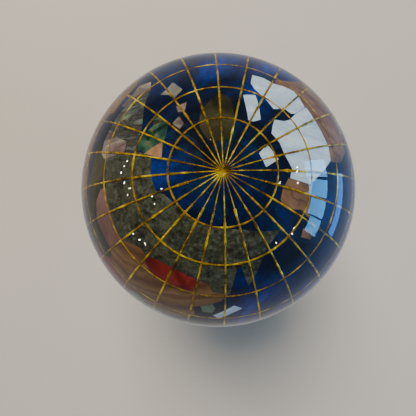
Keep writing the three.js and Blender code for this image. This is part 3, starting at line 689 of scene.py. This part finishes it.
def sweptArc(bm, ringRadius, height, tilt, fromDeg, toDeg, thin=1.0):
    # sweeps the wire's section round Z, at a radius and height, from one angle to another
    outward = Vector((math.cos(tilt), 0, math.sin(tilt)))
    across = Vector((-math.sin(tilt), 0, math.cos(tilt)))
    middle = Vector((ringRadius, 0, height))
    ring = [bm.verts.new(middle + across * a + outward * b) for a, b in wireSection(thin)]
    edges = [bm.edges.new((ring[i - 1], ring[i])) for i in range(len(ring))]
    start = Matrix.Rotation(math.radians(fromDeg), 3, "Z")
    bmesh.ops.rotate(bm, verts=ring, cent=(0, 0, 0), matrix=start)
    sweep = math.radians(toDeg - fromDeg)
    closed = abs(toDeg - fromDeg) >= 360
    bmesh.ops.spin(
        bm, geom=ring + edges, cent=(0, 0, 0), axis=(0, 0, 1), dvec=(0, 0, 0), angle=sweep,
        steps=max(6, round(abs(sweep) * ringRadius / wires["stepLength"])), use_merge=closed,
    )
    bmesh.ops.holes_fill(bm, edges=[e for e in bm.edges if e.is_boundary], sides=0)


def handLay(bm, centreOf, seed, thin=1.0):
    # a little waviness and lumps along the run, as the wire is laid by hand
    offset = Vector((seed * 7.3, seed * 3.1, 0))
    for v in bm.verts:
        centre = centreOf(v.co)
        place = centre / wires["lumpLength"] + offset
        lump = noise.noise(place * wires["lumpRate"])
        sway = noise.noise(place * wires["swayRate"] + Vector((0, 0, 31)))
        side = centre.cross(Vector((0, 0, 1))).normalized() + centre.normalized() * wires["swayOutward"]
        bead = wires["beading"] * max(0, lump - wires["beadFrom"])
        fatness = 1 + wires["lumpiness"] * lump + bead
        v.co = centre + (v.co - centre) * fatness + side * sway * wires["sway"] * thin


def parallelWire(latitude, seed):
    a = math.radians(latitude)
    radius = ball["stoneRadius"] + wires["halfHeight"] - wires["sink"]
    ringRadius, height = radius * math.cos(a), radius * math.sin(a)
    bm = bmesh.new()
    sweptArc(bm, ringRadius, height, a, 0, 360)

    def centreOf(p):
        return Vector((p.x, p.y, 0)).normalized() * ringRadius + Vector((0, 0, height))

    handLay(bm, centreOf, seed)
    return bm


def meridianWire(longitude, fromLat, toLat, seed, thin=1.0):
    radius = ball["stoneRadius"] + wires["halfHeight"] * thin - wires["sink"]
    bm = bmesh.new()
    sweptArc(bm, radius, 0, 0, fromLat, toLat, thin)

    def centreOf(p):
        return Vector((p.x, p.y, 0)).normalized() * radius

    handLay(bm, centreOf, seed, thin)
    upright = Matrix.Rotation(math.radians(longitude), 3, "Z") @ Matrix.Rotation(math.pi / 2, 3, "X")
    bmesh.ops.rotate(bm, verts=bm.verts, cent=(0, 0, 0), matrix=upright)
    return bm


def poleDot():
    bm = bmesh.new()
    bmesh.ops.create_icosphere(bm, subdivisions=4, radius=wires["dotRadius"])
    for v in bm.verts:
        lump = 1 + wires["dotLumpiness"] * noise.noise(v.co / wires["dotLumpLength"])
        height = v.co.z * wires["dotFlatness"] + ball["stoneRadius"] + wires["dotRise"]
        v.co = Vector((v.co.x * lump, v.co.y * lump, height))
    return bm


def graticule():
    parts = [parallelWire(latitude, i + 1) for i, latitude in enumerate(wires["parallels"])]
    for j in range(wires["meridians"]):
        longitude = j * 360 / wires["meridians"]
        blunt = wires["thinFrom"] + wires["thinSpread"] * noise.noise(Vector((j * 1.7, 0.3, 0)))
        thinStart = blunt - wires["thinLap"]
        parts.append(meridianWire(longitude, wires["southEnd"], blunt, 20 + j))
        parts.append(meridianWire(longitude, thinStart, wires["polarEnd"], 60 + j, wires["polarThin"]))
    parts.append(poleDot())
    bm = bmesh.new()
    for part in parts:
        mesh = bpy.data.meshes.new("wire")
        part.to_mesh(mesh)
        part.free()
        bm.from_mesh(mesh)
        bpy.data.meshes.remove(mesh)
    bmesh.ops.rotate(bm, verts=bm.verts, cent=(0, 0, 0), matrix=Matrix.Rotation(ballTurn, 3, "Z"))
    bmesh.ops.recalc_face_normals(bm, faces=bm.faces)
    bmesh.ops.translate(bm, verts=bm.verts, vec=ballCentre)
    piece = finishPiece(bm, "graticule_wires", "globe", wireBrass(), ["graticule"])


print("wires")
graticule()


plinthShape = {
    "bore": 7.8 * mm,
    "recess": 31.5 * mm,
    "recessDepth": 9 * mm,
    "stepHeight": 6.2 * mm,
    "stepRound": 2 * mm,
    "footEdge": 0.8 * mm,
    "riser": 38.8 * mm,  # radius where the cove starts
    "ledge": 1.4 * mm,
    "coveEnd": 28 * mm,
    "coveAboveStep": 2.2 * mm,
    "coveBelowTop": 3.2 * mm,
    "beadFoot": 26.6 * mm,
    "beadCentre": 25 * mm,
    "bead": 1.6 * mm,
    "steps": 128,
    "sharpAngle": 32,
}


def plinthPiece():
    s = plinthShape
    low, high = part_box("plinth")
    recessTop = low.z + s["recessDepth"]
    stepTop = low.z + s["stepHeight"]
    coveTop = high.z - s["coveBelowTop"]
    coveFoot = stepTop + s["coveAboveStep"]
    edge, turn, bead = s["footEdge"], s["stepRound"], s["bead"]
    profile = [(s["bore"], recessTop), (s["recess"], recessTop), (s["recess"], low.z)]
    profile += arcPoints(high.x - edge, low.z + edge, edge, -90, 0, 4)
    profile += arcPoints(high.x - turn, stepTop - turn, turn, 0, 90, 10)
    profile += [(s["riser"] + s["ledge"], stepTop), (s["riser"], stepTop)]
    for c, z in arcPoints(0, 0, 1, 270, 180, 16):
        radius = s["riser"] + (s["riser"] - s["coveEnd"]) * c
        profile.append((radius, coveTop + (coveTop - coveFoot) * z))
    profile += [(s["beadFoot"], coveTop)]
    profile += arcPoints(s["beadCentre"], high.z - bead, bead, -50, 90, 10)
    profile += [(s["bore"], high.z)]
    bm = spunProfile(profile, s["steps"])
    wood = polishedRosewood()
    return finishPiece(bm, "plinth_wood", "stand", wood, ["plinth"], autoAngle=s["sharpAngle"])


feltShape = {"edge": 0.35 * mm, "sharpAngle": 50}


def feltPiece():
    low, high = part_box("felt_pad")
    edge = feltShape["edge"]
    profile = [(0, low.z), (high.x - edge, low.z)]
    profile += arcPoints(high.x - edge, low.z + edge, edge, -90, 0, 4)
    profile += arcPoints(high.x - edge, high.z - edge, edge, 0, 90, 4)
    profile += [(0, high.z)]
    bm = spunProfile(profile)
    return finishPiece(
        bm, "felt_disc", "stand", greenFelt(), ["felt_pad"], autoAngle=feltShape["sharpAngle"],
    )


trimShape = {
    "wire": 1.1 * mm,
    "seat": 0.866,  # the height of the wire's middle over its lowest point, in wire radii
    "facets": 16,
    "steps": 128,
}


def trimPiece():
    s = trimShape
    low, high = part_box("trim_ring")
    facet = 360 / s["facets"]
    profile = arcPoints(
        high.x - s["wire"], low.z + s["wire"] * s["seat"], s["wire"], 0, 360 - facet, s["facets"] - 1
    )
    bm = spunProfile(profile, s["steps"])
    return finishPiece(bm, "trim_wire", "stand", standBrass, ["trim_ring"])


stemShape = {
    "footGap": 0.3 * mm,  # between the foot and the plinth
    "bore": 5.3 * mm,
    "tenon": 7.5 * mm,
    "neck": 7.4 * mm,
    "knop": 11.5 * mm,
    "knopHalf": 3.8 * mm,
    "seat": 12.5 * mm,
    "footHeight": 6 * mm,
    "headHeight": 4 * mm,
    "edge": 0.8 * mm,  # radius of the foot's rounded rim
    "stepIn": 1.9 * mm,
    "stepHeights": (1.6 * mm, 2.1 * mm),
    "sweepIn": 2.1 * mm,
    "sweepHeight": 3.9 * mm,
    "collar": 0.45 * mm,
    "collarOut": 0.4 * mm,
    "collarAway": 4.2 * mm,  # from the knop's middle
    "flareIn": 0.7 * mm,
    "flareHeight": 2.3 * mm,
    "seatEdge": 0.75 * mm,
    "sharpAngle": 32,
}


def stemPiece():
    s = stemShape
    low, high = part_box("stem")
    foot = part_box("plinth")[1].z + s["footGap"]
    neck, edge, seatEdge = s["neck"], s["edge"], s["seatEdge"]
    neckBottom, neckTop = foot + s["footHeight"], high.z - s["headHeight"]
    knop = (neckBottom + neckTop) / 2
    collarAt = neck + s["collarOut"]
    profile = [(s["bore"], low.z), (s["tenon"], low.z), (s["tenon"], foot)]
    profile += arcPoints(high.x - edge, foot + edge, edge, -90, 90, 8)
    profile += [(high.x - s["stepIn"], foot + height) for height in s["stepHeights"]]
    sweep = high.x - s["sweepIn"] - neck
    for c, z in arcPoints(0, 0, 1, 270, 182, 14):  # the foot sweeps up to the neck in a hollow curve
        profile.append((neck + sweep * (1 + c), neckBottom + s["sweepHeight"] * z))
    profile += arcPoints(collarAt, knop - s["collarAway"], s["collar"], -120, 60, 6)
    for c, z in arcPoints(0, 0, 1, -76, 76, 18):
        profile.append((neck + (s["knop"] - neck) * c, knop + s["knopHalf"] * z))
    profile += arcPoints(collarAt, knop + s["collarAway"], s["collar"], -60, 120, 6)
    flare = s["seat"] - s["flareIn"] - neck
    for c, z in arcPoints(0, 0, 1, 178, 96, 12):
        profile.append((neck + flare * (1 + c), neckTop + s["flareHeight"] * z))
    profile += arcPoints(s["seat"] - seatEdge, high.z - seatEdge, seatEdge, -80, 90, 8)
    profile += [(s["bore"], high.z)]
    bm = spunProfile(profile)
    return finishPiece(bm, "stem_brass", "stand", standBrass, ["stem"], autoAngle=s["sharpAngle"])


dishShape = {
    "bore": 5.3 * mm,
    "well": 10.5 * mm,
    "seat": 12.5 * mm,
    "blend": 2 * mm,  # the bowl starts this far out from the well and the seat
    "wall": 2.2 * mm,
    "clearance": 1.7 * mm,  # to the ball
    "rim": 1.5 * mm,
    "rimRadius": 27.5 * mm,
    "rimSetBack": 1.2,  # degrees
    "steps": 128,
    "sharpAngle": 32,
}


def dishPiece():
    s = dishShape
    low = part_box("dish")[0]
    inner = ballRadius + s["clearance"]
    outer = inner + s["wall"]
    middle = inner + s["wall"] / 2
    cz = ballCentre.z
    rimAngle = math.degrees(math.asin(s["rimRadius"] / middle)) - 90
    inAngle = math.degrees(math.asin((s["well"] + s["blend"]) / inner)) - 90
    outAngle = math.degrees(math.asin((s["seat"] + s["blend"]) / outer)) - 90
    rim = (middle * math.cos(math.radians(rimAngle)), cz + middle * math.sin(math.radians(rimAngle)))
    wallEnd = rimAngle - s["rimSetBack"]
    profile = [(s["bore"], low.z + s["wall"]), (s["well"], low.z + s["wall"])]
    profile += arcPoints(0, cz, inner, inAngle, wallEnd, 16)
    profile += arcPoints(rim[0], rim[1], s["rim"], rimAngle + 225, rimAngle - 45, 16)
    profile += arcPoints(0, cz, outer, wallEnd, outAngle, 16)
    profile += [(s["seat"], low.z), (s["bore"], low.z)]
    bm = spunProfile(profile, s["steps"])
    return finishPiece(bm, "dish_brass", "stand", standBrass, ["dish"], autoAngle=s["sharpAngle"])


print("stand")
for piece, slotName in (
    (plinthPiece(), "rosewood"), (feltPiece(), "green_felt"), (trimPiece(), "brass"),
    (stemPiece(), "brass"), (dishPiece(), "brass"),
):
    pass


def dressNode(node, material):
    slots = nodes[node].material_slots
    for slot in slots:
        slot.material = material
    if not slots:
        nodes[node].data.materials.append(material)


nylonPlastic = mouldedPlastic("natural_nylon", (0.55, 0.52, 0.45), (0.72, 0.70, 0.62), 0.45)
coreResin = mouldedPlastic("core_resin", (0.28, 0.25, 0.20), (0.42, 0.38, 0.31), 0.6)
keptNodes = {
    standBrass: ["pole_boss", "boss_nut"],
    steelMetal: ["ballast_disc", "clamp_washer", "clamp_nut", "spindle", "retaining_clip",
                 "ballast_screw_1", "ballast_screw_2", "ballast_screw_3"],
    bronzeMetal: ["upper_bush", "lower_bush"],
    nylonPlastic: ["thrust_washer"],
    coreResin: ["core_north", "core_south"],
}
for material, names in keptNodes.items():
    for node in names:
        dressNode(node, material)


studio = {
    "floorSize": 3.0,
    "floorColours": [(0.3, (0.60, 0.545, 0.475)), (0.7, (0.64, 0.59, 0.525))],
    # what the gloss sees, from straight down to straight up, on the left and on the window's side
    "leftSide": [(0.0, (0.50, 0.49, 0.47)), (0.36, (0.27, 0.265, 0.265)), (0.485, (0.14, 0.14, 0.16)),
                 (0.515, (0.060, 0.062, 0.070)), (1.0, (0.030, 0.032, 0.036))],
    "windowSide": [(0.0, (0.50, 0.52, 0.56)), (0.36, (0.18, 0.26, 0.52)), (0.485, (0.08, 0.13, 0.34)),
                   (0.515, (0.055, 0.065, 0.085)), (1.0, (0.030, 0.032, 0.036))],
    "sidesBlend": (0.25, 0.85),  # where the left side gives way to the window's, as seen along X
    "backdrop": (0.50, 0.49, 0.475),
    "lights": [
        # name, place, size, watts, colour, spread in degrees, lights the surfaces, seen in the gloss
        ("overhead", (-0.20, 0.66, 1.20), (0.7, 0.7), 17.0, (1.0, 0.915, 0.79), 150, True, False),
        ("daylight", (1.00, -0.40, 0.45), (0.5, 0.5), 7.0, (0.46, 0.70, 1.0), 180, True, False),
        ("leftFill", (-1.4, -0.3, 0.6), (0.9, 0.7), 2.0, (1.0, 0.94, 0.88), 180, True, False),
        ("frontFill", (0.0, -1.5, 0.30), (0.9, 0.4), 3.0, (0.85, 0.92, 1.0), 180, True, False),
        ("backFill", (0.2, 1.5, 0.35), (0.9, 0.4), 3.5, (1.0, 0.96, 0.92), 180, True, False),
        ("sill", (1.05, -0.08, -0.22), (0.55, 0.15), 1.4, (0.06, 0.30, 1.0), 180, False, True),
    ],
    "window": {"x": 1.05, "from": -0.50, "to": 0.33, "bar": 0.026, "bottom": 0.12,
               "heights": [0.26, 0.31, 0.37, 0.42], "brightness": 36, "colour": (0.10, 0.46, 1.0)},
    "lampDistance": 1.5,
    "lampWatts": 0.22,
    "lampColour": (1, 0.97, 0.9),
    "lamps": [  # azimuth, elevation and size of the small lamps in the gloss
        (101.6, 57.2, 0.03), (-176.4, 46.4, 0.03), (1.7, 45.2, 0.03), (14, 29, 0.022), (11, 30, 0.022),
        (3, 30, 0.022), (-18, 32, 0.022), (-28, 23, 0.022), (-32, 21.5, 0.022), (-44, 27, 0.022),
        (166, 12, 0.03), (170, 10, 0.03), (163, 14, 0.024), (-176, 16.5, 0.03), (180, 19, 0.03),
        (176, 14, 0.024), (-147, 12, 0.03), (-152, 10, 0.03), (-143, 14, 0.03), (-164, 38.4, 0.024),
        (-171, 38, 0.024),
    ],
}


def floor():
    n = Nodes("pale_floor")
    plainSet(n, Roughness=0.5)
    n.colour(n.ramp(n.noise(n.place(), 3, 3), studio["floorColours"]))
    bm = bmesh.new()
    bmesh.ops.create_grid(bm, x_segments=1, y_segments=1, size=studio["floorSize"] / 2)
    mesh = bpy.data.meshes.new("floor")
    bm.to_mesh(mesh)
    bm.free()
    mesh.materials.append(n.material)
    piece = bpy.data.objects.new("floor", mesh)
    piece.visible_glossy = False
    bpy.context.scene.collection.objects.link(piece)


def areaLight(name, at, size, watts, colour, spread, lit, seen, shape="RECTANGLE"):
    light = bpy.data.lights.new(name, "AREA")
    light.shape = shape
    light.size, light.size_y = size
    light.energy = watts
    light.color = colour
    light.spread = math.radians(spread)
    lamp = bpy.data.objects.new(name, light)
    lamp.location = at
    lamp.rotation_euler = (ballCentre - Vector(at)).to_track_quat("-Z", "Y").to_euler()
    lamp.visible_diffuse = lit
    lamp.visible_glossy = seen
    lamp.visible_camera = False
    bpy.context.scene.collection.objects.link(lamp)


def room():
    # a dim room for the gloss to reflect, and a pale backdrop behind the floor
    world = bpy.data.worlds.new("room")
    bpy.context.scene.world = world
    world.use_nodes = True
    tree = world.node_tree
    where = tree.nodes.new("ShaderNodeTexCoord")
    split = tree.nodes.new("ShaderNodeSeparateXYZ")
    shift = tree.nodes.new("ShaderNodeMapRange")
    shift.inputs["From Min"].default_value = -1
    across = tree.nodes.new("ShaderNodeMapRange")
    start, end = studio["sidesBlend"]
    across.inputs["From Min"].default_value = start
    across.inputs["From Max"].default_value = end
    sides = tree.nodes.new("ShaderNodeMix")
    sides.data_type = "RGBA"
    for key, socket in (("leftSide", 6), ("windowSide", 7)):
        ramp = tree.nodes.new("ShaderNodeValToRGB")
        while len(ramp.color_ramp.elements) < len(studio[key]):
            ramp.color_ramp.elements.new(0.5)
        for element, (place, colour) in zip(ramp.color_ramp.elements, studio[key]):
            element.position = place
            element.color = (*colour, 1)
        tree.links.new(shift.outputs["Result"], ramp.inputs["Fac"])
        tree.links.new(ramp.outputs["Color"], sides.inputs[socket])
    path = tree.nodes.new("ShaderNodeLightPath")
    blend = tree.nodes.new("ShaderNodeMix")
    blend.data_type = "RGBA"
    blend.inputs[7].default_value = (*studio["backdrop"], 1)
    tree.links.new(where.outputs["Generated"], split.inputs["Vector"])
    tree.links.new(split.outputs["Z"], shift.inputs["Value"])
    tree.links.new(split.outputs["X"], across.inputs["Value"])
    tree.links.new(across.outputs["Result"], sides.inputs[0])
    tree.links.new(path.outputs["Is Camera Ray"], blend.inputs[0])
    tree.links.new(sides.outputs[2], blend.inputs[6])
    tree.links.new(blend.outputs[2], tree.nodes["Background"].inputs["Color"])


def lights():
    for settings in studio["lights"]:
        areaLight(*settings)
    w = studio["window"]
    step = (w["to"] - w["from"]) / len(w["heights"])
    for i, height in enumerate(w["heights"]):
        at = (w["x"], w["from"] + step * (i + 0.5), w["bottom"] + height / 2)
        size = (step - w["bar"], height)
        watts = w["brightness"] * size[0] * size[1]
        areaLight("pane_%d" % (i + 1), at, size, watts, w["colour"], 180, False, True)
    for i, (azimuth, elevation, size) in enumerate(studio["lamps"]):
        az, el = math.radians(azimuth), math.radians(elevation)
        way = Vector((math.cos(el) * math.cos(az), math.cos(el) * math.sin(az), math.sin(el)))
        at = ballCentre + way * studio["lampDistance"]
        watts, colour = studio["lampWatts"], studio["lampColour"]
        areaLight("lamp_%d" % (i + 1), at, (size, size), watts, colour, 180, False, True, "DISK")


camView = {
    "lens": 33.5,
    "sensor": 36,
    "clipStart": 0.01,
    "away": (-0.0974, -0.3307, 2.980),  # from the ball's centre, in ball radii
    "ahead": (0.0089, 0.0682, -0.9976),
    "right": (1, 0, 0.009),
}


def camera():
    data = bpy.data.cameras.new("camera")
    data.lens = camView["lens"]
    data.sensor_width = camView["sensor"]
    data.clip_start = camView["clipStart"]
    piece = bpy.data.objects.new("camera", data)
    away = Vector(camView["away"]) * ballRadius
    ahead = Vector(camView["ahead"]).normalized()
    right = Vector(camView["right"]).normalized()
    up = right.cross(ahead)
    turn = Matrix((right, up, -ahead)).transposed()
    piece.matrix_world = Matrix.Translation(ballCentre + away) @ turn.to_4x4()
    bpy.context.scene.collection.objects.link(piece)
    bpy.context.scene.camera = piece


print("studio")
floor()
room()
lights()
camera()
